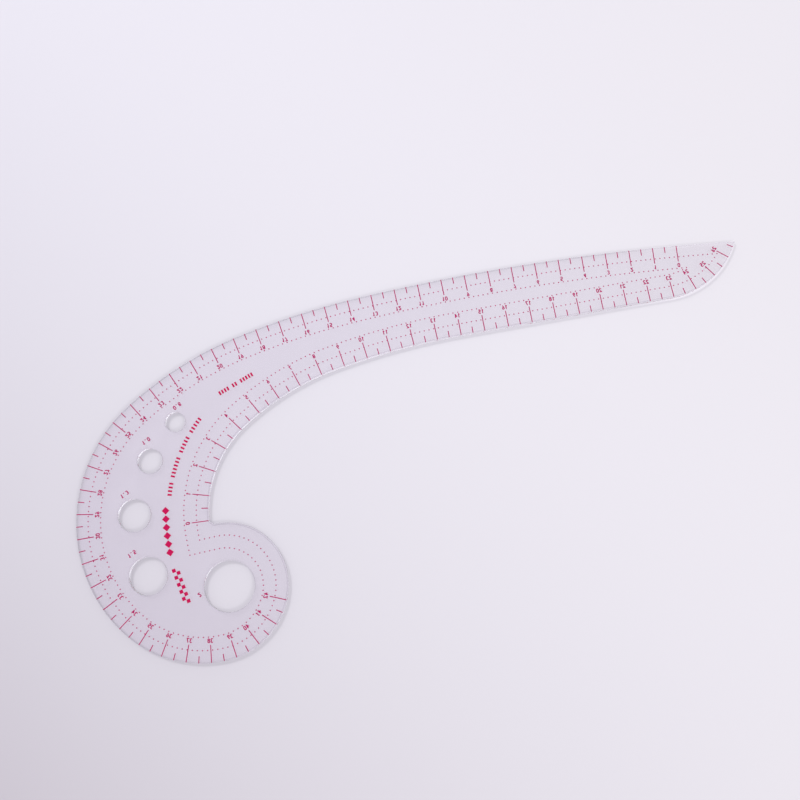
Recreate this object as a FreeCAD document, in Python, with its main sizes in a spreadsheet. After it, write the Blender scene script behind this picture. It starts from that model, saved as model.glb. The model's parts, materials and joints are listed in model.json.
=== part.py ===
import FreeCAD, Part
import math
import os
import Sketcher

# French curve: a clear plastic drafting template in the shape of a comma, lying print side up.
# +Z points out of the printed face, +X runs along the longest side towards the tip of the blade,
# and the origin is the middle of the outline's box on the underside. Lengths are in millimetres.
#
# The outline is one closed chain of tangent runs, walked anticlockwise with the plastic on the left:
#   outer edge: tip, back of the blade, crook, heel, head, notch
#   inner edge: notch, hollow, underside of the blade, tip
# The graduations, numerals, dotted allowance lines and the long row of bars follow those runs.
# Rows of bars, lozenges and a checker bar stand where such a template carries its captions.

Vector = FreeCAD.Vector
Z_AXIS = Vector(0, 0, 1)
TOLERANCE = 1e-4

doc = FreeCAD.newDocument("french_curve")

# ---------------------------------------------------------------- driving dimensions

DIMENSIONS = [
    ("plate_thickness", 2.0, "thickness of the plastic sheet"),
    ("edge_break", 0.2, "chamfer round every edge of the sheet"),
    ("tip_x", 147.92, "tip of the blade"),
    ("tip_y", -48.36, "tip of the blade"),
    ("tip_heading", 145.0, "direction in which the outer edge leaves the tip, degrees"),
    ("blade_back_radius", 900.0, "outer edge, long run of the blade"),
    ("blade_back_turn", 10.3, "its turn, degrees"),
    ("shoulder_radius", 320.0, "outer edge, where the blade starts to bend"),
    ("shoulder_turn", 9.2, "its turn, degrees"),
    ("hip_radius", 145.0, "outer edge, next run"),
    ("hip_turn", 20.8, "its turn, degrees"),
    ("crook_radius", 61.0, "outer edge, long bend of the comma"),
    ("crook_turn", 97.8, "its turn, degrees"),
    ("heel_radius", 47.0, "outer edge, below the bend"),
    ("heel_turn", 51.9, "its turn, degrees"),
    ("head_radius", 30.0, "outer edge, underside of the head"),
    ("head_turn", 65.0, "its turn, degrees"),
    ("head_top_radius", 25.0, "outer edge, end and top of the head"),
    ("head_top_turn", 114.2, "its turn, degrees"),
    ("notch_x", -94.37, "corner where the inner edge starts"),
    ("notch_y", -4.05, "corner where the inner edge starts"),
    ("notch_heading", 59.2, "direction of the inner edge at the notch, degrees"),
    ("hollow_radius", 45.0, "inner edge, tightest run"),
    ("hollow_turn", 53.9, "its turn, degrees"),
    ("waist_radius", 108.0, "inner edge, next run"),
    ("waist_turn", 23.5, "its turn, degrees"),
    ("blade_under_radius", 300.0, "inner edge, start of the blade"),
    ("blade_under_turn", 10.1, "its turn, degrees"),
    ("tip_radius", 36.0, "inner edge, round of the tip"),
    ("hole_a_diameter", 8.0, "smallest template hole"),
    ("hole_a_x", -81.7, "its centre"),
    ("hole_a_y", 36.8, "its centre"),
    ("hole_b_diameter", 10.0, "second template hole"),
    ("hole_b_x", -99.2, "its centre"),
    ("hole_b_y", 30.3, "its centre"),
    ("hole_c_diameter", 13.0, "third template hole"),
    ("hole_c_x", -116.8, "its centre"),
    ("hole_c_y", 16.4, "its centre"),
    ("hole_d_diameter", 15.0, "fourth template hole"),
    ("hole_d_x", -126.3, "its centre"),
    ("hole_d_y", -6.5, "its centre"),
    ("hole_e_diameter", 20.0, "largest template hole, in the head"),
    ("hole_e_x", -103.3, "its centre"),
    ("hole_e_y", -29.7, "its centre"),
    ("ink_thickness", 0.04, "height of the printed ink"),
    ("ink_margin", 0.25, "bare strip between the edge and the print"),
    ("line_width", 0.36, "width of a printed tick"),
    ("graduation", 10.0, "length of edge between two numbered ticks"),
    ("gauge_depth", 0.3, "depth below the edge at which that length is measured"),
    ("long_tick_end", 7.0, "depth at which a numbered tick ends"),
    ("half_tick_end", 2.9, "depth at which a half tick ends"),
    ("outer_zero", 25.0, "distance of the outer scale's zero from the tip"),
    ("inner_zero", 0.0, "distance of the inner scale's zero from the notch"),
    ("numeral_depth", 8.6, "depth of the middle of a numeral"),
    ("tip_tick_end", 5.7, "depth at which the last two numbered ticks of the inner edge end"),
    ("tip_numeral_depth", 7.1, "depth of their numerals"),
    ("numeral_height", 1.8, "height of a digit"),
    ("numeral_stroke", 0.38, "width of a digit's stroke"),
    ("near_allowance", 5.0, "depth of the first dotted line"),
    ("far_allowance", 10.0, "depth of the second dotted line"),
    ("dot_pitch", 2.0, "distance between dots"),
    ("dot_diameter", 0.5, "diameter of a dot"),
    ("notch_lead", 6.5, "length of hollow that the inner dotted lines carry on past the notch"),
    ("caption_depth", 16.1, "depth of the long row of caption bars below the inner edge"),
    ("caption_start", 12.4, "distance of its first bar from the notch"),
    ("caption_pitch", 1.5, "distance between its bars"),
    ("caption_bar_width", 0.75, "width of a caption bar"),
    ("caption_bar_height", 1.7, "height of a caption bar"),
    ("short_caption_x", -60.3, "first bar of the short row"),
    ("short_caption_y", 34.9, "first bar of the short row"),
    ("short_caption_pitch", 1.25, "distance between the bars of the short row"),
    ("short_caption_heading", -7.0, "direction of the short row, degrees"),
    ("lozenge_x", -105.8, "first lozenge"),
    ("lozenge_y", 10.0, "first lozenge"),
    ("lozenge_heading", 235.6, "direction in which their line starts, degrees"),
    ("lozenge_line_radius", 100.0, "radius of their line"),
    ("lozenge_size", 3.1, "width across the corners of a lozenge"),
    ("lozenge_pitch", 3.33, "distance between lozenges"),
    ("checker_x", -116.1, "start of the checker bar"),
    ("checker_y", -10.7, "start of the checker bar"),
    ("checker_heading", 253.9, "direction of the checker bar, degrees"),
    ("checker_cell", 1.46, "distance between the columns and between the rows of checker squares"),
    ("checker_gap", 0.02, "space between two checker squares that meet at a corner"),
]

sheet = doc.addObject("Spreadsheet::Sheet", "dims")
sheet.Label = "dims"
for row, (alias, value, note) in enumerate(DIMENSIONS, start=1):
    sheet.set(f"A{row}", note)
    sheet.set(f"B{row}", str(value))
    sheet.setAlias(f"B{row}", alias)
doc.recompute()


def dim(alias):
    """Value of a cell of the sheet."""
    return float(sheet.get(alias))


# ---------------------------------------------------------------- the outline as tangent runs


class Run:
    """A straight or round stretch of an edge. Its curvature is positive where it turns left."""

    def __init__(self, start, heading, length, curvature=0.0):
        self.start = start
        self.heading = heading
        self.length = length
        self.curvature = curvature

    def heading_at(self, distance):
        return self.heading + self.curvature * distance

    def point_at(self, distance):
        if self.curvature == 0.0:
            return self.start + direction(self.heading) * distance
        return self.centre() + side(self.heading_at(distance)) * (-1.0 / self.curvature)

    def end(self):
        return self.point_at(self.length)

    def centre(self):
        return self.start + side(self.heading) * (1.0 / self.curvature)

    def inset(self, depth):
        """The run that lies parallel to this one, the given depth inside the plastic."""
        shrink = 1.0 - self.curvature * depth
        start = self.start + side(self.heading) * depth
        return Run(start, self.heading, self.length * shrink, self.curvature / shrink)

    def geometry(self):
        """The run as sketch geometry. Sketch arcs always run anticlockwise."""
        if self.curvature == 0.0:
            return Part.LineSegment(self.start, self.end())
        circle = Part.Circle(self.centre(), Z_AXIS, abs(1.0 / self.curvature))
        first = math.atan2(*reversed((self.start - self.centre())[:2]))
        last = first + self.curvature * self.length
        return Part.ArcOfCircle(circle, min(first, last), max(first, last))


def direction(heading):
    """Unit vector along a heading in radians."""
    return Vector(math.cos(heading), math.sin(heading), 0)


def side(heading):
    """Unit vector to the left of a heading, which is towards the plastic."""
    return Vector(-math.sin(heading), math.cos(heading), 0)


def add_arc(runs, start, heading, radius_name, turn_name, sign):
    """Append the arc that two cells describe and return where it ends and its heading there."""
    radius = dim(radius_name)
    run = Run(start, heading, radius * math.radians(dim(turn_name)), sign / radius)
    runs.append(run)
    return run.end(), run.heading_at(run.length)


OUTER_NAMES = ["blade_back", "shoulder", "hip", "crook", "heel", "head", "head_top"]
INNER_NAMES = ["hollow", "waist", "blade_under"]


def make_outer_edge():
    runs = []
    point = Vector(dim("tip_x"), dim("tip_y"), 0)
    heading = math.radians(dim("tip_heading"))
    for name in OUTER_NAMES:
        point, heading = add_arc(runs, point, heading, name + "_radius", name + "_turn", 1.0)
    return runs


def make_inner_edge(tip):
    """Three hollow arcs, then a straight and the round of the tip, which close on the tip."""
    runs = []
    point = Vector(dim("notch_x"), dim("notch_y"), 0)
    heading = math.radians(dim("notch_heading"))
    for name in INNER_NAMES:
        point, heading = add_arc(runs, point, heading, name + "_radius", name + "_turn", -1.0)
    radius = dim("tip_radius")
    to_tip = tip - point - side(heading) * radius
    along = to_tip.dot(direction(heading))
    across = to_tip.dot(side(heading))
    straight = Run(point, heading, along - math.sqrt(radius ** 2 - across ** 2))
    runs.append(straight)
    round_tip = Run(straight.end(), heading, 0.0, 1.0 / radius)
    spoke = tip - round_tip.centre()
    round_tip.length = radius * (math.atan2(spoke.y, spoke.x) - heading + math.pi / 2)
    runs.append(round_tip)
    return runs


outer_edge = make_outer_edge()
inner_edge = make_inner_edge(outer_edge[0].start)
notch_line = Part.LineSegment(outer_edge[-1].end(), inner_edge[0].start)

# ---------------------------------------------------------------- the plate


def plane_of(body, role):
    """An origin plane of a body."""
    return next(item for item in body.Origin.OriginFeatures if item.Role == role)


def new_sketch(body, name):
    sketch = body.newObject("Sketcher::SketchObject", name)
    sketch.AttachmentSupport = (plane_of(body, "XY_Plane"), [""])
    sketch.MapMode = "FlatFace"
    return sketch


def bind(sketch, formula, *constraint):
    """Add a constraint and bind its value to a formula of sheet cells."""
    index = sketch.addConstraint(Sketcher.Constraint(*constraint))
    sketch.setExpression(f"Constraints[{index}]", formula)


START, END, CENTRE = 1, 2, 3
ORIGIN = (-1, 1)


def ends_of(run):
    """Which vertices of the run's sketch geometry are its start and its end."""
    return (START, END) if run.curvature >= 0.0 else (END, START)


def draw_outline(sketch):
    """The closed outline: outer runs, the short cut at the notch, inner runs."""
    for run in outer_edge:
        sketch.addGeometry(run.geometry())
    cut = sketch.addGeometry(notch_line)
    for run in inner_edge:
        sketch.addGeometry(run.geometry())
    first_inner = cut + 1
    last = first_inner + len(inner_edge) - 1

    for index in range(1, len(outer_edge)):
        sketch.addConstraint(Sketcher.Constraint("Tangent", index - 1, END, index, START))
    for index in range(1, len(inner_edge)):
        before = ends_of(inner_edge[index - 1])[1]
        after = ends_of(inner_edge[index])[0]
        geometry = first_inner + index
        sketch.addConstraint(Sketcher.Constraint("Tangent", geometry - 1, before, geometry, after))
    sketch.addConstraint(Sketcher.Constraint("Coincident", cut - 1, END, cut, START))
    notch_end = ends_of(inner_edge[0])[0]
    sketch.addConstraint(Sketcher.Constraint("Coincident", cut, END, first_inner, notch_end))
    sketch.addConstraint(Sketcher.Constraint("Coincident", last, END, 0, START))

    for index, name in enumerate(OUTER_NAMES):
        bind(sketch, f"dims.{name}_radius", "Radius", index, dim(name + "_radius"))
        bind(sketch, f"dims.{name}_turn", "Angle", index, math.radians(dim(name + "_turn")))
    for index, name in enumerate(INNER_NAMES, start=first_inner):
        bind(sketch, f"dims.{name}_radius", "Radius", index, dim(name + "_radius"))
        bind(sketch, f"dims.{name}_turn", "Angle", index, math.radians(dim(name + "_turn")))
    bind(sketch, "dims.tip_radius", "Radius", last, dim("tip_radius"))

    tip = outer_edge[0].start
    notch = inner_edge[0].start
    bind(sketch, "dims.tip_x", "DistanceX", *ORIGIN, 0, START, tip.x)
    bind(sketch, "dims.tip_y", "DistanceY", *ORIGIN, 0, START, tip.y)
    bind(sketch, "dims.notch_x", "DistanceX", *ORIGIN, cut, END, notch.x)
    bind(sketch, "dims.notch_y", "DistanceY", *ORIGIN, cut, END, notch.y)
    back_centre = outer_edge[0].centre() - tip
    hollow_centre = inner_edge[0].centre() - notch
    bind(sketch, "-dims.blade_back_radius * sin(dims.tip_heading)",
         "DistanceX", 0, START, 0, CENTRE, back_centre.x)
    bind(sketch, "dims.hollow_radius * sin(dims.notch_heading)",
         "DistanceX", first_inner, notch_end, first_inner, CENTRE, hollow_centre.x)


HOLES = ["hole_a", "hole_b", "hole_c", "hole_d", "hole_e"]


def draw_holes(sketch):
    for name in HOLES:
        centre = Vector(dim(name + "_x"), dim(name + "_y"), 0)
        radius = dim(name + "_diameter") / 2
        circle = sketch.addGeometry(Part.Circle(centre, Z_AXIS, radius))
        bind(sketch, f"dims.{name}_diameter", "Diameter", circle, 2 * radius)
        bind(sketch, f"dims.{name}_x", "DistanceX", *ORIGIN, circle, CENTRE, centre.x)
        bind(sketch, f"dims.{name}_y", "DistanceY", *ORIGIN, circle, CENTRE, centre.y)


def face_edges(shape, height):
    """Names of the edges that lie at a height."""
    names = []
    for index, edge in enumerate(shape.Edges, start=1):
        box = edge.BoundBox
        if abs(box.ZMin - height) < TOLERANCE and abs(box.ZMax - height) < TOLERANCE:
            names.append(f"Edge{index}")
    return names


def make_plate():
    body = doc.addObject("PartDesign::Body", "curve_plate")
    body.Label = "curve_plate"
    outline = new_sketch(body, "outline")
    draw_outline(outline)
    pad = body.newObject("PartDesign::Pad", "sheet_thickness")
    pad.Profile = outline
    pad.setExpression("Length", "dims.plate_thickness")
    doc.recompute()

    holes = new_sketch(body, "template_holes")
    draw_holes(holes)
    pocket = body.newObject("PartDesign::Pocket", "cut_holes")
    pocket.Profile = holes
    pocket.Type = "ThroughAll"
    pocket.Reversed = True
    doc.recompute()
    removed = pad.Shape.Volume - pocket.Shape.Volume
    area = sum(math.pi * (dim(name + "_diameter") / 2) ** 2 for name in HOLES)
    assert abs(removed - area * dim("plate_thickness")) < 1.0, "the template holes are not cut"

    chamfer = body.newObject("PartDesign::Chamfer", "broken_edges")
    edges = face_edges(pocket.Shape, 0.0) + face_edges(pocket.Shape, dim("plate_thickness"))
    chamfer.Base = (pocket, edges)
    chamfer.setExpression("Size", "dims.edge_break")
    doc.recompute()
    assert chamfer.Shape.Volume < pocket.Shape.Volume, "the edges are not broken"
    return body


# ---------------------------------------------------------------- printed marks

INK = dim("ink_thickness")


def placed(shape, point, heading):
    """A copy of a mark, moved to a point and turned so that its +X runs along the heading."""
    mark = shape.copy()
    rotation = FreeCAD.Rotation(Z_AXIS, math.degrees(heading))
    mark.Placement = FreeCAD.Placement(point, rotation).multiply(mark.Placement)
    return mark


def locate(runs, distance):
    """Point and heading at a distance along a chain of runs."""
    for run in runs[:-1]:
        if distance <= run.length:
            return run.point_at(distance), run.heading_at(distance)
        distance -= run.length
    return runs[-1].point_at(distance), runs[-1].heading_at(distance)


def gauge_marks(edge, zero, count, step):
    """Edge point and heading of each mark, its distance measured along the gauge line."""
    depth = dim("gauge_depth")
    gauge_line = [run.inset(depth) for run in edge]
    marks = []
    for number in range(count):
        point, heading = locate(gauge_line, zero + number * step)
        marks.append((point - side(heading) * depth, heading))
    return marks


def ticks(marks, end_depth):
    """Straight ticks, square to the edge."""
    start_depth = dim("ink_margin")
    width = dim("line_width")
    corner = Vector(-width / 2, start_depth, 0)
    bar = Part.makeBox(width, end_depth - start_depth, INK, corner)
    return [placed(bar, point, heading) for point, heading in marks]


# A digit is drawn in a cell 1 wide and 2 high, with the middle of its strokes on the cell's border.
# Each stroke is ("line", x0, y0, x1, y1) or ("arc", x, y, radius, first angle, last angle).
GLYPHS = {
    "0": [("arc", 0.5, 1.5, 0.5, 0, 180), ("arc", 0.5, 0.5, 0.5, 180, 360),
          ("line", 0, 0.5, 0, 1.5), ("line", 1, 0.5, 1, 1.5)],
    "1": [("line", 0.6, 0, 0.6, 2), ("line", 0.6, 2, 0.2, 1.6)],
    "2": [("arc", 0.5, 1.5, 0.5, -30, 170), ("line", 0.93, 1.25, 0, 0), ("line", 0, 0, 1, 0)],
    "3": [("arc", 0.5, 1.5, 0.5, -90, 150), ("arc", 0.5, 0.5, 0.5, -150, 90)],
    "4": [("line", 0.8, 0, 0.8, 2), ("line", 0.8, 2, 0, 0.6), ("line", 0, 0.6, 1, 0.6)],
    "5": [("line", 0.9, 2, 0.1, 2), ("line", 0.1, 2, 0.1, 1.1), ("arc", 0.45, 0.6, 0.6, -140, 125)],
    "6": [("arc", 0.5, 0.5, 0.5, 0, 360), ("line", 0.03, 0.65, 0.7, 2)],
    "7": [("line", 0, 2, 1, 2), ("line", 1, 2, 0.35, 0)],
    "8": [("arc", 0.5, 1.52, 0.46, 0, 360), ("arc", 0.5, 0.53, 0.53, 0, 360)],
    "9": [("arc", 0.5, 1.5, 0.5, 0, 360), ("line", 0.97, 1.35, 0.3, 0)],
    ".": [("line", 0.45, 0.05, 0.55, 0.05)],
}
GLYPH_HEIGHT = 2.0
GLYPH_ADVANCE = 1.75


def ink_line(start, end, width):
    """A round-ended stroke between two points."""
    along = end - start
    heading = math.atan2(along.y, along.x)
    half = width / 2
    left = side(heading) * half
    ahead = direction(heading) * half
    outline = [
        Part.LineSegment(start - left, end - left),
        Part.Arc(end - left, end + ahead, end + left),
        Part.LineSegment(end + left, start + left),
        Part.Arc(start + left, start - ahead, start - left),
    ]
    wire = Part.Wire([curve.toShape() for curve in outline])
    return Part.Face(wire).extrude(Z_AXIS * INK)


def ink_arc(centre, radius, first, last, width):
    """A stroke along an arc or a whole circle."""
    outer = Part.makeCylinder(radius + width / 2, INK, centre, Z_AXIS, last - first)
    inner = Part.makeCylinder(radius - width / 2, INK, centre, Z_AXIS, 360)
    ring = outer.cut(inner)
    ring.rotate(centre, Z_AXIS, first)
    return ring


def make_glyph(strokes):
    """One digit as a single solid, its cell's middle at the origin."""
    unit = (dim("numeral_height") - dim("numeral_stroke")) / GLYPH_HEIGHT
    width = dim("numeral_stroke")
    pieces = []
    for kind, *numbers in strokes:
        if kind == "line":
            x0, y0, x1, y1 = [number * unit for number in numbers]
            pieces.append(ink_line(Vector(x0, y0, 0), Vector(x1, y1, 0), width))
        else:
            x, y, radius, first, last = numbers
            pieces.append(ink_arc(Vector(x, y, 0) * unit, radius * unit, first, last, width))
    glyph = pieces[0].multiFuse(pieces[1:]).removeSplitter() if pieces[1:] else pieces[0]
    glyph.translate(Vector(-0.5, -GLYPH_HEIGHT / 2, 0) * unit)
    return glyph


glyphs = {symbol: make_glyph(strokes) for symbol, strokes in GLYPHS.items()}


def numeral(text, point, heading):
    """Digits that read correctly through the sheet, so they are mirrored on the printed face."""
    unit = (dim("numeral_height") - dim("numeral_stroke")) / GLYPH_HEIGHT
    digits = []
    for place, symbol in enumerate(text):
        reading_offset = (place - (len(text) - 1) / 2) * GLYPH_ADVANCE * unit
        digit = glyphs[symbol].mirror(Vector(0, 0, 0), Vector(1, 0, 0))
        digits.append(placed(digit, point - direction(heading) * reading_offset, heading))
    return digits


def scale_numerals(marks, depth, first=0):
    """The count of each numbered tick, at the given depth, its foot towards the tick."""
    digits = []
    for count, (point, heading) in enumerate(marks, start=first):
        digits += numeral(str(count), point + side(heading) * depth, heading)
    return digits


def round_crossing(run, other, near):
    """Where two round runs, carried on as far as needed, cross each other nearest to a point."""
    ring = Part.makeCircle(abs(1.0 / run.curvature), run.centre())
    other_ring = Part.makeCircle(abs(1.0 / other.curvature), other.centre())
    crossings = [vertex.Point for vertex in ring.section(other_ring).Vertexes]
    return min(crossings, key=lambda point: point.distanceToPoint(near))


def turn_to(run, point):
    """How far along a round run a point of its circle lies, up to half a turn either way."""
    spoke = point - run.centre()
    start_spoke = run.start - run.centre()
    turn = math.atan2(spoke.y, spoke.x) - math.atan2(start_spoke.y, start_spoke.x)
    turn = (turn + math.pi) % (2 * math.pi) - math.pi
    return turn / run.curvature


def straight_crossing(run, other):
    """Distances along two straight runs at which they cross."""
    along, other_along = direction(run.heading), direction(other.heading)
    gap = other.start - run.start
    cross = along.x * other_along.y - along.y * other_along.x
    reach = (gap.x * other_along.y - gap.y * other_along.x) / cross
    other_reach = (gap.x * along.y - gap.y * along.x) / cross
    return reach, other_reach


def lead_in(run, length, curvature=0.0):
    """A run of the given length that ends where another one starts."""
    backwards = Run(run.start, run.heading, -length, curvature)
    return Run(backwards.end(), backwards.heading_at(-length), length, curvature)


def allowance_lines(depth):
    """The outer and the inner line at one depth, cut off where they meet.

    At the tip two arcs cross. At the notch both lines carry on straight until they cross, the
    inner one after a last stretch of the hollow's arc. Each line comes with its first and last
    distance.
    """
    outer_line = [run.inset(depth) for run in outer_edge]
    inner_line = [run.inset(depth) for run in inner_edge]
    tip = round_crossing(outer_line[0], inner_line[-1], outer_line[0].start)
    outer_first = turn_to(outer_line[0], tip)
    inner_cut = inner_line[-1].length - turn_to(inner_line[-1], tip)

    head_end = outer_line[-1]
    reach = 4 * dim("far_allowance")
    past_head = Run(head_end.end(), head_end.heading_at(head_end.length), reach)
    last_of_hollow = lead_in(inner_line[0], dim("notch_lead"), inner_line[0].curvature)
    past_notch = lead_in(last_of_hollow, reach)
    outer_reach, inner_first = straight_crossing(past_head, past_notch)
    outer_last = sum(run.length for run in outer_line) + outer_reach
    inner_line = [past_notch, last_of_hollow] + inner_line
    inner_last = sum(run.length for run in inner_line) - inner_cut
    outer_line.append(past_head)
    return (outer_line, outer_first, outer_last), (inner_line, inner_first, inner_last)


def allowance_dots(depth):
    """Evenly spaced dots along both lines at one depth."""
    dot = Part.makeCylinder(dim("dot_diameter") / 2, INK)
    dots = []
    for line, first, last in allowance_lines(depth):
        count = round((last - first) / dim("dot_pitch"))
        pitch = (last - first) / count
        for index in range(count):
            point, heading = locate(line, first + index * pitch)
            dots.append(placed(dot, point, heading))
    return dots


HOLE_LABELS = [
    ("0.8", "hole_a", Vector(4.5, 4.8, 0)),
    ("1.0", "hole_b", Vector(3.6, 7.5, 0)),
    ("1.3", "hole_c", Vector(1.8, 9.2, 0)),
    ("1.5", "hole_d", Vector(0.0, 11.0, 0)),
    ("2", "hole_e", Vector(-11.2, 4.6, 0)),
]


def hole_numerals():
    """The diameter in centimetres beside each template hole."""
    digits = []
    for text, name, offset in HOLE_LABELS:
        centre = Vector(dim(name + "_x"), dim(name + "_y"), 0)
        digits += numeral(text, centre + offset, math.pi)
    return digits


LONG_CAPTION = [4, 6, 5, 5]
SHORT_CAPTION = [4, 2, 5]
LOZENGES = 6
CHECKER_COLUMNS = 10
CHECKER_ROWS = 2


def caption_bars(runs, first, pitch, groups):
    """Short upright bars along a line, in groups with one bar's space between them."""
    width = dim("caption_bar_width")
    height = dim("caption_bar_height")
    bar = Part.makeBox(width, height, INK, Vector(-width / 2, -height / 2, 0))
    bars = []
    place = 0
    for group in groups:
        for _ in range(group):
            bars.append(placed(bar, *locate(runs, first + place * pitch)))
            place += 1
        place += 1
    return bars


def long_caption():
    depth = dim("caption_depth")
    line = [run.inset(depth) for run in inner_edge]
    return caption_bars(line, dim("caption_start"), dim("caption_pitch"), LONG_CAPTION)


def short_caption():
    start = Vector(dim("short_caption_x"), dim("short_caption_y"), 0)
    line = Run(start, math.radians(dim("short_caption_heading")), 0.0)
    return caption_bars([line], 0.0, dim("short_caption_pitch"), SHORT_CAPTION)


def lozenges():
    """A bent row of squares that stand on their corners."""
    side_length = dim("lozenge_size") / math.sqrt(2)
    square = Part.makeBox(side_length, side_length, INK, Vector(-side_length / 2, -side_length / 2, 0))
    square.rotate(Vector(0, 0, 0), Z_AXIS, 45)
    start = Vector(dim("lozenge_x"), dim("lozenge_y"), 0)
    heading = math.radians(dim("lozenge_heading"))
    line = Run(start, heading, 0.0, 1.0 / dim("lozenge_line_radius"))
    distances = [index * dim("lozenge_pitch") for index in range(LOZENGES)]
    return [placed(square, line.point_at(s), line.heading_at(s)) for s in distances]


def checker_bar():
    """Squares in alternate places of two rows. A hair of space keeps their corners apart."""
    cell = dim("checker_cell")
    width = cell - dim("checker_gap")
    square = Part.makeBox(width, width, INK, Vector(-width / 2, -width / 2, 0))
    start = Vector(dim("checker_x"), dim("checker_y"), 0)
    heading = math.radians(dim("checker_heading"))
    squares = []
    for column in range(CHECKER_COLUMNS):
        row = column % CHECKER_ROWS
        along = direction(heading) * (column + 0.5) * cell
        across = side(heading) * (row - 0.5) * cell
        squares.append(placed(square, start + along + across, heading))
    return squares


def add_print(name, marks):
    """A group of separate printed marks that lie on the plate's upper face."""
    feature = doc.addObject("Part::Feature", name)
    feature.Label = name
    feature.Shape = Part.makeCompound(marks)
    feature.Placement = FreeCAD.Placement(Vector(0, 0, dim("plate_thickness")), FreeCAD.Rotation())
    return feature


OUTER_COUNT = 42
INNER_COUNT = 26
TIP_COUNT = 25
step = dim("graduation")
outer_marks = gauge_marks(outer_edge, dim("outer_zero"), OUTER_COUNT + 1, step)
outer_halves = gauge_marks(outer_edge, dim("outer_zero") + step / 2, OUTER_COUNT, step)
inner_marks = gauge_marks(inner_edge, dim("inner_zero"), INNER_COUNT + 1, step)
inner_halves = gauge_marks(inner_edge, dim("inner_zero") + step / 2, INNER_COUNT + 1, step)

# The blade narrows towards its tip, so the last two numbered marks of the inner edge are shorter.
tip_marks = inner_marks[TIP_COUNT:]
inner_ticks = ticks(inner_marks[:TIP_COUNT], dim("long_tick_end"))
inner_ticks += ticks(tip_marks, dim("tip_tick_end"))
inner_numerals = scale_numerals(inner_marks[:TIP_COUNT], dim("numeral_depth"))
inner_numerals += scale_numerals(tip_marks, dim("tip_numeral_depth"), TIP_COUNT)

sub_parts = [
    make_plate(),
    add_print("outer_scale_numbered_ticks", ticks(outer_marks, dim("long_tick_end"))),
    add_print("outer_scale_half_ticks", ticks(outer_halves, dim("half_tick_end"))),
    add_print("outer_scale_numerals", scale_numerals(outer_marks, dim("numeral_depth"))),
    add_print("inner_scale_numbered_ticks", inner_ticks),
    add_print("inner_scale_half_ticks", ticks(inner_halves, dim("half_tick_end"))),
    add_print("inner_scale_numerals", inner_numerals),
    add_print("dotted_line_5_mm", allowance_dots(dim("near_allowance"))),
    add_print("dotted_line_10_mm", allowance_dots(dim("far_allowance"))),
    add_print("hole_size_numerals", hole_numerals()),
    add_print("long_caption_bars", long_caption()),
    add_print("short_caption_bars", short_caption()),
    add_print("lozenge_marks", lozenges()),
    add_print("checker_bar", checker_bar()),
]
doc.recompute()

# ---------------------------------------------------------------- checks and export

for item in doc.Objects:
    assert "Invalid" not in item.State and "Error" not in item.State, f"{item.Name} failed: {item.State}"

os.makedirs("parts", exist_ok=True)
for item in sub_parts:
    assert not item.Shape.isNull() and item.Shape.isValid(), f"{item.Label} has no valid shape"
    item.Shape.exportStep(f"parts/{item.Label}.step")
    box = item.Shape.BoundBox
    print(f"{item.Label}: {len(item.Shape.Solids)} solids, volume {item.Shape.Volume:.2f},"
          f" x {box.XMin:.2f} {box.XMax:.2f}, y {box.YMin:.2f} {box.YMax:.2f},"
          f" z {box.ZMin:.2f} {box.ZMax:.2f}")
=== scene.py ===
import bpy
import bmesh
import json
import math
from mathutils import Matrix, Vector


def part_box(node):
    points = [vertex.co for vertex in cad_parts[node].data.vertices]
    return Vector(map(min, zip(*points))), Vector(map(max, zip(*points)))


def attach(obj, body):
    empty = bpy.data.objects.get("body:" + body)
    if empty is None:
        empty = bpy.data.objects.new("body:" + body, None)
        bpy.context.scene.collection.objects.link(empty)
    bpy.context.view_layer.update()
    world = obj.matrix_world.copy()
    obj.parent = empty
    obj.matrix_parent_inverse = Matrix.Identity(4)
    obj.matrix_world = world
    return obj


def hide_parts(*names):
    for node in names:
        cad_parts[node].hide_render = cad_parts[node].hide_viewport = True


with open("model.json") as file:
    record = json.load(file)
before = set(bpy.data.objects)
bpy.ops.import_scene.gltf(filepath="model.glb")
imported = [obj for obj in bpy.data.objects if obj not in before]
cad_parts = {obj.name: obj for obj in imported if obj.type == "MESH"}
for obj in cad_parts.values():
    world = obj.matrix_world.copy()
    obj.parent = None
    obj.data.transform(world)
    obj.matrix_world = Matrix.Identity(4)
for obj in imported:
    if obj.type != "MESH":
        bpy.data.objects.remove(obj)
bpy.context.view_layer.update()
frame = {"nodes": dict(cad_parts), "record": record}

MM = 0.001

# The picture's directions on the table. The head lies at the picture's left and the tip at its right.
VIEW_TURN = math.radians(38.5)
PICTURE_RIGHT = Vector((math.cos(VIEW_TURN), -math.sin(VIEW_TURN), 0))
PICTURE_UP = Vector((math.sin(VIEW_TURN), math.cos(VIEW_TURN), 0))
Z_AXIS = Vector((0, 0, 1))
TO_WINDOW = PICTURE_UP - PICTURE_RIGHT
TO_NEAR_LEFT = -PICTURE_RIGHT - PICTURE_UP

# ------------------------------------------------------------ the sheet's outline, in mm and degrees

TIP, TIP_HEADING = Vector((147.92, -48.36)), 145.0
NOTCH, NOTCH_HEADING = Vector((-94.37, -4.05)), 59.2

# (radius, turn) of each arc, from the tip to the notch and from the notch to the straight.
OUTER_ARCS = [(900, 10.3), (320, 9.2), (145, 20.8), (61, 97.8), (47, 51.9), (30, 65.0), (25, 114.2)]
INNER_ARCS = [(45, 53.9), (108, 23.5), (300, 10.1)]
TIP_RADIUS = 36.0

# Steps along the outline and round the holes, the radii of their rims, and how far inside the CAD
# part's outline the rims stay.
STEP, HOLE_STEP = 0.5, 0.3
EDGE, BORE_EDGE = 0.7, 0.3
MARGIN = 0.02


def ahead(heading):
    return Vector((math.cos(heading), math.sin(heading)))


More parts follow.
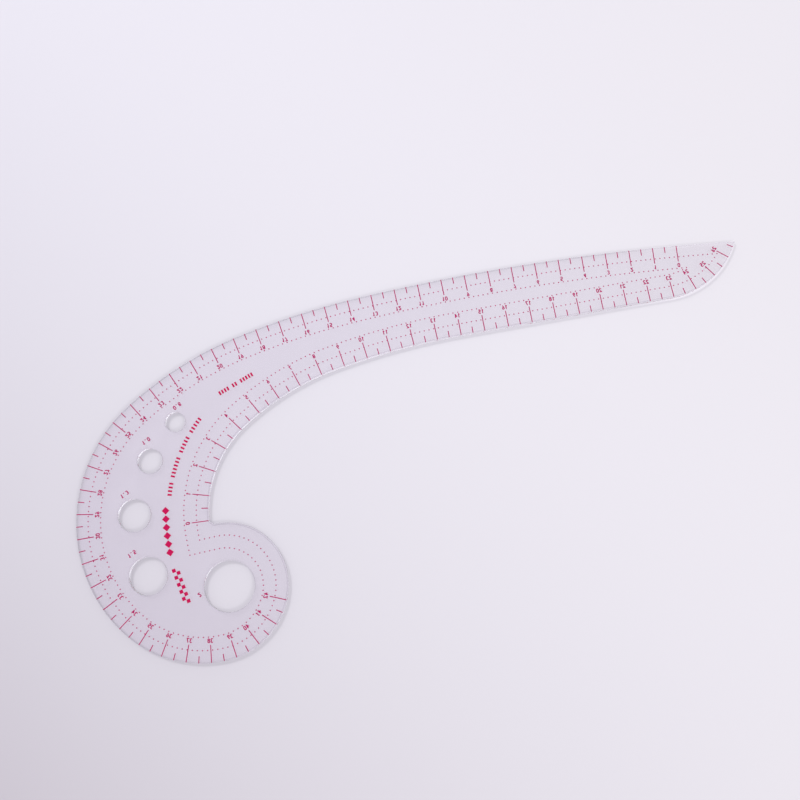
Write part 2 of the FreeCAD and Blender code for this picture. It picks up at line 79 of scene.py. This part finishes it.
def left(heading):
    return Vector((-math.sin(heading), math.cos(heading)))


def walk_arc(path, point, heading, radius, turn):
    """Adds an arc to a path of (point, heading) and returns its end. A negative radius turns right."""
    centre = point + left(heading) * radius
    steps = round(abs(radius * turn) / STEP)
    for index in range(steps):
        angle = heading + math.copysign(turn, radius) * index / steps
        path.append((centre - left(angle) * radius, angle))
    angle = heading + math.copysign(turn, radius)
    return centre - left(angle) * radius, angle


def outer_edge():
    """The edge from the tip round the head to the notch."""
    path = []
    point, heading = TIP, math.radians(TIP_HEADING)
    for radius, turn in OUTER_ARCS:
        point, heading = walk_arc(path, point, heading, radius, math.radians(turn))
    path.append((point, heading))
    return path


def inner_edge():
    """The edge from the notch through the hollow, a straight and the tip's own arc to the tip."""
    path = []
    point, heading = NOTCH, math.radians(NOTCH_HEADING)
    for radius, turn in INNER_ARCS:
        point, heading = walk_arc(path, point, heading, -radius, math.radians(turn))
    to_tip = TIP - point - left(heading) * TIP_RADIUS
    along, across = to_tip.dot(ahead(heading)), to_tip.dot(left(heading))
    straight = along - math.sqrt(TIP_RADIUS ** 2 - across ** 2)
    steps = round(straight / STEP)
    path += [(point + ahead(heading) * straight * i / steps, heading) for i in range(steps)]
    point = point + ahead(heading) * straight
    spoke = TIP - point - left(heading) * TIP_RADIUS
    turn = math.atan2(spoke.y, spoke.x) - heading + math.pi / 2
    path.append(walk_arc(path, point, heading, TIP_RADIUS, turn))
    return path


def mitre(before, after):
    """The way inwards at a corner, long enough to keep an inset parallel to both sides."""
    middle = left(before) + left(after)
    middle.normalize()
    return middle / middle.dot(left(after))


def outline_loop():
    """(point, way inwards) around the sheet, anticlockwise, with mitres at the tip and the notch."""
    outer, inner = outer_edge(), inner_edge()
    cut = inner[0][0] - outer[-1][0]
    cut_heading = math.atan2(cut.y, cut.x)
    stretches = ((outer, inner[-1][1], cut_heading), (inner, cut_heading, outer[0][1]))
    loop = []
    for stretch, heading_before, heading_after in stretches:
        for index, (point, heading) in enumerate(stretch):
            inward = left(heading)
            if index == 0:
                inward = mitre(heading_before, heading)
            elif index == len(stretch) - 1:
                inward = mitre(heading, heading_after)
            loop.append((point, inward))
    # Points this close to the sharp tip would fold the inner rings over, so only the tip itself stays.
    corner = loop[0][0]
    return loop[:1] + [item for item in loop if (item[0] - corner).length > 2 * EDGE]


def hole_loop(mount):
    """(point, way into the plastic) around a hole, clockwise."""
    centre = Vector((mount["pos_m"][0] / MM, mount["pos_m"][1] / MM))
    radius = mount["dims"]["r_mm"]
    steps = round(2 * math.pi * radius / HOLE_STEP)
    angles = [-2 * math.pi * i / steps for i in range(steps)]
    return [(centre + ahead(angle) * radius, ahead(angle)) for angle in angles]


# ------------------------------------------------------------ the sheet

low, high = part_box("curve_plate")
THICKNESS = (high.z - low.z) / MM
ROUND_STEPS = 4
SHARP_ANGLE = math.radians(40)


def edge_profile(radius):
    """(inset, height) of each ring of a rounded rim, from the underside to the upper face."""
    lower = []
    for i in range(ROUND_STEPS + 1):
        angle = math.pi / 2 * i / ROUND_STEPS
        lower.append((MARGIN + radius * (1 - math.sin(angle)), radius * (1 - math.cos(angle))))
    upper = [(inset, THICKNESS - height) for inset, height in reversed(lower)]
    return lower + upper


def add_rim(mesh, loop, profile):
    """Builds the rim along a loop and returns the edges of its lowest and its highest ring."""
    count = len(loop)
    rings = []
    for inset, height in profile:
        points = [point + inward * inset for point, inward in loop]
        rings.append([mesh.verts.new((p.x * MM, p.y * MM, height * MM)) for p in points])
    for below, above in zip(rings, rings[1:]):
        for i in range(count):
            j = (i + 1) % count
            face = mesh.faces.new((below[i], below[j], above[j], above[i]))
            face.smooth = True
    ends = (rings[0], rings[-1])
    return [[mesh.edges.get((ring[i], ring[(i + 1) % count])) for i in range(count)] for ring in ends]


def add_face(mesh, edges, upward):
    """Fills the flat face between the outline's ring and the holes' rings."""
    made = bmesh.ops.triangle_fill(mesh, edges=edges, use_beauty=True, use_dissolve=False)
    for item in made["geom"]:
        if isinstance(item, bmesh.types.BMFace):
            item.smooth = False
            item.normal_update()
            if (item.normal.z > 0) != upward:
                item.normal_flip()


def build_sheet():
    mesh = bmesh.new()
    bores = [mount for mount in frame["record"]["mounts"] if mount["kind"] == "bore"]
    rims = [(outline_loop(), edge_profile(EDGE))]
    rims += [(hole_loop(mount), edge_profile(BORE_EDGE)) for mount in bores]
    under, over = [], []
    for loop, profile in rims:
        lowest, highest = add_rim(mesh, loop, profile)
        under += lowest
        over += highest
    add_face(mesh, under, upward=False)
    add_face(mesh, over, upward=True)
    data = bpy.data.meshes.new("clear_sheet")
    mesh.to_mesh(data)
    mesh.free()
    data.set_sharp_from_angle(angle=SHARP_ANGLE)
    piece = bpy.data.objects.new("clear_sheet", data)
    bpy.context.scene.collection.objects.link(piece)
    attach(piece, "root")
    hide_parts("curve_plate")
    piece.data.materials.append(plastic())


# ------------------------------------------------------------ node helpers

# Where the colour sockets stand among the Mix node's sockets, which share their names.
MIX_COLOURS, MIX_RESULT = (6, 7), 2
NOISE_RANGE = (0.3, 0.7)


class Nodes:
    """A material's node tree, with short ways to add the nodes used here."""

    def __init__(self, name):
        self.material = bpy.data.materials.new(name)
        self.material.use_nodes = True
        self.tree = self.material.node_tree
        self.shader = self.tree.nodes["Principled BSDF"]
        self.place = self.add("ShaderNodeTexCoord").outputs["Object"]

    def add(self, kind, **settings):
        node = self.tree.nodes.new(kind)
        for name, value in settings.items():
            setattr(node, name, value)
        return node

    def link(self, output, target):
        self.tree.links.new(output, target)

    def noise(self, scale, detail, stretch=(1, 1, 1), turn=0.0):
        """Noise over the object's own coordinates, scale in features per metre."""
        mapping = self.add("ShaderNodeMapping")
        mapping.inputs["Scale"].default_value = stretch
        mapping.inputs["Rotation"].default_value = (0, 0, turn)
        self.link(self.place, mapping.inputs["Vector"])
        node = self.add("ShaderNodeTexNoise")
        node.inputs["Scale"].default_value = scale
        node.inputs["Detail"].default_value = detail
        self.link(mapping.outputs["Vector"], node.inputs["Vector"])
        return node.outputs["Fac"]

    def along(self, axis, source=None):
        """The object's own coordinates, or another vector output, measured along an axis."""
        node = self.add("ShaderNodeVectorMath", operation="DOT_PRODUCT")
        self.link(source or self.place, node.inputs[0])
        node.inputs[1].default_value = axis
        return node.outputs["Value"]

    def spread(self, noise, low, high):
        """The range where most of a noise lies, mapped to a range of values."""
        node = self.add("ShaderNodeMapRange")
        limits = (*NOISE_RANGE, low, high)
        for name, value in zip(("From Min", "From Max", "To Min", "To Max"), limits):
            node.inputs[name].default_value = value
        self.link(noise, node.inputs["Value"])
        return node.outputs["Result"]

    def blend(self, factor, first, second):
        """A colour between two colours or colour outputs."""
        node = self.add("ShaderNodeMix", data_type="RGBA")
        self.link(factor, node.inputs["Factor"])
        for index, colour in zip(MIX_COLOURS, (first, second)):
            if isinstance(colour, tuple):
                node.inputs[index].default_value = (*colour, 1)
            else:
                self.link(colour, node.inputs[index])
        return node.outputs[MIX_RESULT]

    def maths(self, operation, first, second=0.0):
        node = self.add("ShaderNodeMath", operation=operation)
        for socket, value in zip(node.inputs, (first, second)):
            if isinstance(value, (int, float)):
                socket.default_value = value
            else:
                self.link(value, socket)
        return node.outputs["Value"]

    def bump(self, height, distance):
        node = self.add("ShaderNodeBump")
        node.inputs["Distance"].default_value = distance
        self.link(height, node.inputs["Height"])
        self.link(node.outputs["Normal"], self.shader.inputs["Normal"])

    def let_through(self, factor, tint):
        """Where the factor is 1, light passes straight through with a tint."""
        clear = self.add("ShaderNodeBsdfTransparent")
        if isinstance(tint, tuple):
            clear.inputs["Color"].default_value = (*tint, 1)
        else:
            self.link(tint, clear.inputs["Color"])
        mixed = self.add("ShaderNodeMixShader")
        self.link(factor, mixed.inputs["Fac"])
        self.link(self.shader.outputs["BSDF"], mixed.inputs[1])
        self.link(clear.outputs["BSDF"], mixed.inputs[2])
        self.link(mixed.outputs["Shader"], self.tree.nodes["Material Output"].inputs["Surface"])


# ------------------------------------------------------------ plastic

# Noises are (features per metre, detail), with a stretch and a turn for the scuffs.
CLOUDS = (18, 3)
SCUFFS, SCUFF_DEPTH = (60, 5, (1, 22, 1), 0.5), 5e-7
POLISH_MARKS, POLISH, SAWN_ROUGHNESS = (420, 4), (0.012, 0.03), 0.16
ACRYLIC_IOR = 1.49

# How far each change spreads along the sheet in metres, and where it starts, as a multiple of that.
HEAD_REACH, HEAD_START = 0.26, 0.55
END_REACH, END_START = 0.025, 3.8

# The glass as the camera sees it: the faces, painted shade over the rim, and thin painted shade lines
# at the tilts where the rim begins.
# The gains say how fast those lines change as the rim turns to the window or to the near left.
TINT_A, TINT_B = (0.966, 0.953, 0.972), (0.976, 0.963, 0.982)
TIP_TINT = (0.976, 0.974, 0.968)
PAINTED_RIM_SHADE = (0.58, 0.57, 0.62)
CREASE_TILT = (0.005, 0.05)
PAINTED_CREASE_SHADE = (0.70, 0.68, 0.72)
WINDOW_PAINTED_CREASE_SHADE, TIP_PAINTED_CREASE_SHADE = (0.54, 0.53, 0.58), (0.88, 0.87, 0.89)
WINDOW_GAIN, NEAR_LEFT_GAIN = 3.5, 4.5

# What is left of the light that a ray from the table gathers, through the sheet's faces, and where the
# ray enters the rim, leaves it or comes in at its foot. Rays deeper than the last value are let out.
PANE_SHADE = (0.950, 0.938, 0.959)
ENTRY_SHADE = (0.06, 0.06, 0.07)
EXIT_SHADE, TIP_EXIT_SHADE = (0.70, 0.68, 0.70), (1.0, 0.99, 1.0)
FOOT_GLINT, TIP_GLINT = (0.48, 0.48, 0.49), (1.6, 1.6, 1.6)
STEEP_POWER, SOFT_SHARE, FOOT_GAIN = 0.6, 0.3, 4.0
TRAPPED_DEPTH = 3


def plastic():
    """Clear acrylic with a faint violet-grey tint, painted shade at its rims, uneven polish and
    hair-fine scuffs.

    Rays from the camera meet glass. Rays that gather light for the table pass straight through
    instead, dimmed at the rims, which gives the sheet its narrow grey shadow.
    """
    nodes = Nodes("clear_acrylic")
    nodes.shader.inputs["Transmission Weight"].default_value = 1.0
    nodes.shader.inputs["IOR"].default_value = ACRYLIC_IOR
    nodes.bump(nodes.noise(*SCUFFS), SCUFF_DEPTH)

    surface = nodes.add("ShaderNodeNewGeometry").outputs
    upright = nodes.add("ShaderNodeSeparateXYZ")
    nodes.link(surface["True Normal"], upright.inputs["Vector"])
    height = upright.outputs["Z"]
    tilt = nodes.maths("SUBTRACT", 1.0, nodes.maths("ABSOLUTE", height))
    headward = nodes.maths("SUBTRACT", HEAD_START, nodes.along(PICTURE_RIGHT / HEAD_REACH))
    end = nodes.maths("SUBTRACT", nodes.along(PICTURE_RIGHT / END_REACH), END_START)

    # Glass colour with painted shade: the rim darkened and a thin dark line where it begins.
    tint = tint_and_painted_rim_shade(nodes, surface, tilt, headward)
    nodes.link(tint, nodes.shader.inputs["Base Color"])
    polish = nodes.spread(nodes.noise(*POLISH_MARKS), *POLISH)
    sawn = nodes.maths("MULTIPLY", tilt, SAWN_ROUGHNESS)
    nodes.link(nodes.maths("ADD", polish, sawn), nodes.shader.inputs["Roughness"])

    ray = nodes.add("ShaderNodeLightPath").outputs
    shade = cast_shade(nodes, ray, surface, tilt, height, headward, end)
    deep = nodes.maths("GREATER_THAN", ray["Ray Depth"], TRAPPED_DEPTH)
    gathering = nodes.maths("MAXIMUM", ray["Is Shadow Ray"], ray["Is Diffuse Ray"])
    nodes.let_through(nodes.maths("MAXIMUM", gathering, deep), shade)
    return nodes.material


def tint_and_painted_rim_shade(nodes, surface, tilt, headward):
    """The sheet's cloudy tint, painted shade over the rim, and a painted shade line at the rim's crease.

    The painted line is darkest where it faces the window, and fades out on the head's near left side.
    """
    cloudy = nodes.blend(nodes.spread(nodes.noise(*CLOUDS), 0, 1), TINT_A, TINT_B)
    tint = nodes.blend(headward, TIP_TINT, cloudy)
    # Painted shade: the rim's glass colour is darkened to give it a dark outline.
    rim = nodes.blend(tilt, tint, PAINTED_RIM_SHADE)

    # Painted shade: a thin dark line where the rim begins, darkest towards the window, faded on the near
    # left.
    limits = [nodes.maths("GREATER_THAN", tilt, limit) for limit in CREASE_TILT]
    crease = nodes.maths("SUBTRACT", *limits)
    outside = nodes.maths("SUBTRACT", 1.0, surface["Backfacing"])
    crease = nodes.maths("MULTIPLY", crease, outside)
    near_left = nodes.along(TO_NEAR_LEFT * NEAR_LEFT_GAIN, surface["True Normal"])
    near_left = nodes.maths("MULTIPLY", near_left, headward)
    crease = nodes.maths("SUBTRACT", crease, nodes.maths("MAXIMUM", near_left))

    window_painted_shade = nodes.blend(headward, TIP_PAINTED_CREASE_SHADE, WINDOW_PAINTED_CREASE_SHADE)
    facing = nodes.along(TO_WINDOW * WINDOW_GAIN, surface["True Normal"])
    line = nodes.blend(facing, PAINTED_CREASE_SHADE, window_painted_shade)
    return nodes.blend(crease, rim, line)


def cast_shade(nodes, ray, surface, tilt, height, headward, end):
    """What is left of a ray's light: most through the faces, little where the ray enters the rim.

    Shadow rays to the lamps are dimmed in full. Diffuse rays, which gather the dome's light, are dimmed
    in part, and less towards the tip. Rays in at the rim's foot keep more, and gain some at the tip,
    which draws a pale line beside the sheet.
    """
    soft = nodes.maths("MULTIPLY", ray["Is Diffuse Ray"], nodes.maths("MULTIPLY", headward, SOFT_SHARE))
    amount = nodes.maths("MAXIMUM", ray["Is Shadow Ray"], soft)
    cast = nodes.maths("MULTIPLY", nodes.maths("POWER", tilt, STEEP_POWER), amount)
    leaving = nodes.maths("MULTIPLY", cast, surface["Backfacing"])
    entering = nodes.maths("SUBTRACT", cast, leaving)
    foot = nodes.maths("MAXIMUM", nodes.maths("MULTIPLY", height, -FOOT_GAIN))
    glint = nodes.maths("MULTIPLY", foot, entering)

    shade = nodes.blend(entering, PANE_SHADE, ENTRY_SHADE)
    shade = nodes.blend(leaving, shade, nodes.blend(end, EXIT_SHADE, TIP_EXIT_SHADE))
    return nodes.blend(glint, shade, nodes.blend(end, FOOT_GLINT, TIP_GLINT))


# ------------------------------------------------------------ ink

SOLID_CRIMSON = ((0.58, 0.002, 0.088), (0.50, 0.002, 0.076))
FINE_CRIMSON = ((0.48, 0.003, 0.125), (0.40, 0.003, 0.105))
FINE_PRINT = ("tick", "line", "numerals")
INK_MOTTLE, INK_SHEEN = (900, 3), (260, 2)
INK_ROUGHNESS, INK_SPECULAR = (0.38, 0.55), 0.15
INK_GRAIN, INK_RELIEF = (2500, 2), 6e-6
INK_SHADE = (0.97, 0.93, 0.95)


def ink(name, light, dark):
    """Screen-printed crimson, a little mottled, which barely dims the light to the table."""
    nodes = Nodes(name)
    mottle = nodes.spread(nodes.noise(*INK_MOTTLE), 0, 1)
    nodes.link(nodes.blend(mottle, light, dark), nodes.shader.inputs["Base Color"])
    nodes.link(nodes.spread(nodes.noise(*INK_SHEEN), *INK_ROUGHNESS), nodes.shader.inputs["Roughness"])
    nodes.shader.inputs["Specular IOR Level"].default_value = INK_SPECULAR
    nodes.bump(nodes.noise(*INK_GRAIN), INK_RELIEF)
    ray = nodes.add("ShaderNodeLightPath").outputs
    nodes.let_through(nodes.maths("MAXIMUM", ray["Is Shadow Ray"], ray["Is Diffuse Ray"]), INK_SHADE)
    return nodes.material


def paint_print():
    """Gives the CAD part's printed nodes their ink, one for fine marks and one for heavy ones."""
    solid_ink = ink("solid_crimson_ink", *SOLID_CRIMSON)
    fine_ink = ink("fine_crimson_ink", *FINE_CRIMSON)
    for name, node in frame["nodes"].items():
        if name != "curve_plate":
            fine = any(word in name for word in FINE_PRINT)
            node.data.materials.clear()
            node.data.materials.append(fine_ink if fine else solid_ink)


# ------------------------------------------------------------ floor

FLOOR_HALF = 1.5
FLOOR_DROP = 0.05 * MM

# The card fades from cool to warm across the picture. Painted shade, standing in for the light's
# fall-off, darkens it towards its near left corner.
CARD_COOL, CARD_WARM, CARD_SHADE = (0.795, 0.782, 0.845), (0.815, 0.795, 0.832), (0.08, 0.0, 0.02)
WARM_REACH, WARM_START = 0.33, 0.35
CARD_CLOUDS, CARD_MOTTLE = (9, 2), 0.3
CARD_TOOTH, CARD_ROUGHNESS, CARD_SPECULAR = (700, 3), (0.75, 0.9), 0.2
FALL_REACH, FALL_START, FALL_RATE, FALL_MOST = 0.163, 0.6, 0.076, 0.32


def paper():
    """Pale card with painted shade of the light's fall-off towards the near left corner, and a faint
    tooth.
    """
    nodes = Nodes("pale_paper")
    # Painted shade: the light's fall-off, darkening the card towards its near left corner.
    corner = nodes.along(TO_NEAR_LEFT.normalized() / FALL_REACH)
    depth = nodes.maths("MAXIMUM", nodes.maths("ADD", corner, FALL_START))
    fall = nodes.maths("MULTIPLY", nodes.maths("POWER", depth, 2.0), FALL_RATE)
    fall = nodes.maths("MINIMUM", fall, FALL_MOST)
    across = nodes.maths("ADD", nodes.along(PICTURE_RIGHT / WARM_REACH), WARM_START)
    mottle = nodes.maths("MULTIPLY", nodes.noise(*CARD_CLOUDS), CARD_MOTTLE)
    card = nodes.blend(nodes.maths("ADD", across, mottle), CARD_COOL, CARD_WARM)
    nodes.link(nodes.blend(fall, card, CARD_SHADE), nodes.shader.inputs["Base Color"])
    tooth = nodes.spread(nodes.noise(*CARD_TOOTH), *CARD_ROUGHNESS)
    nodes.link(tooth, nodes.shader.inputs["Roughness"])
    nodes.shader.inputs["Specular IOR Level"].default_value = CARD_SPECULAR
    return nodes.material


def floor():
    data = bpy.data.meshes.new("floor")
    signs = ((-1, -1), (1, -1), (1, 1), (-1, 1))
    corners = [(x * FLOOR_HALF, y * FLOOR_HALF, -FLOOR_DROP) for x, y in signs]
    data.from_pydata(corners, [], [(0, 1, 2, 3)])
    piece = bpy.data.objects.new("floor", data)
    bpy.context.scene.collection.objects.link(piece)
    data.materials.append(paper())


# ------------------------------------------------------------ light

LAMP_DISTANCE, LAMP_RISE = 1.6, 1.4
LAMP_COLOUR = (1.0, 0.985, 1.0)
SKY_COLOUR = (0.975, 0.965, 1.0)

# (from, to, dim, bright). The sky grows from dim to bright as the cosine to an axis grows.
DOME = (0.0, 0.55, 0.50, 0.73)
GLOW, GLOW_RISE = (0.55, 1.0, 0.0, 0.9), 0.5


def soft_light(name, side, size, power):
    """A round lamp that shines on the table. The rims don't mirror it, which would make them sparkle."""
    towards = side + Z_AXIS * LAMP_RISE
    data = bpy.data.lights.new(name, "AREA")
    data.shape = "DISK"
    data.size = size
    data.energy = power
    data.color = LAMP_COLOUR
    lamp = bpy.data.objects.new(name, data)
    lamp.location = towards.normalized() * LAMP_DISTANCE
    lamp.rotation_mode = "QUATERNION"
    lamp.rotation_quaternion = towards.to_track_quat("Z", "Y")
    lamp.visible_transmission = False
    lamp.visible_glossy = False
    bpy.context.scene.collection.objects.link(lamp)


def sky():
    """A white studio dome, dimmer towards the horizon, with a brighter side towards the window."""
    world = bpy.data.worlds.new("studio")
    bpy.context.scene.world = world
    world.use_nodes = True
    # The dome's light is then gathered by diffuse rays alone, which the rims dim only in part.
    world.cycles.sampling_method = "NONE"
    tree = world.node_tree
    coords = tree.nodes.new("ShaderNodeTexCoord").outputs["Generated"]
    total = tree.nodes.new("ShaderNodeMath")
    window = (TO_WINDOW + Z_AXIS * GLOW_RISE).normalized()
    for axis, limits, target in ((Z_AXIS, DOME, total.inputs[0]), (window, GLOW, total.inputs[1])):
        measure = tree.nodes.new("ShaderNodeVectorMath")
        measure.operation = "DOT_PRODUCT"
        measure.inputs[1].default_value = axis
        tree.links.new(coords, measure.inputs[0])
        ramp = tree.nodes.new("ShaderNodeMapRange")
        ramp.interpolation_type = "SMOOTHSTEP"
        for name, value in zip(("From Min", "From Max", "To Min", "To Max"), limits):
            ramp.inputs[name].default_value = value
        tree.links.new(measure.outputs["Value"], ramp.inputs["Value"])
        tree.links.new(ramp.outputs["Result"], target)
    background = tree.nodes["Background"]
    background.inputs["Color"].default_value = (*SKY_COLOUR, 1)
    tree.links.new(total.outputs["Value"], background.inputs["Strength"])


# ------------------------------------------------------------ camera

EYE = Vector((-34.10, -57.31, 324.61)) * MM
TARGET = Vector((-4.30, -13.44, 2.0)) * MM
LENS, SENSOR = 36.0, 36.0
NEAR_CLIP, FAR_CLIP = 0.01, 20


def camera():
    """Looks down at the sheet at a slight tilt, with the picture's upright direction upwards."""
    data = bpy.data.cameras.new("camera")
    data.lens, data.sensor_width = LENS, SENSOR
    data.clip_start, data.clip_end = NEAR_CLIP, FAR_CLIP
    eye = bpy.data.objects.new("camera", data)
    back = (EYE - TARGET).normalized()
    right = PICTURE_UP.cross(back).normalized()
    up = back.cross(right)
    turn = Matrix((right, up, back)).transposed()
    eye.rotation_mode = "QUATERNION"
    eye.rotation_quaternion = turn.to_quaternion()
    eye.location = EYE
    bpy.context.scene.collection.objects.link(eye)
    bpy.context.scene.camera = eye


build_sheet()
paint_print()
floor()
sky()
soft_light("window", TO_WINDOW, size=0.26, power=5.6)
soft_light("far_window", -TO_WINDOW, size=0.4, power=3.3)
camera()
bpy.context.scene.view_settings.view_transform = "Standard"
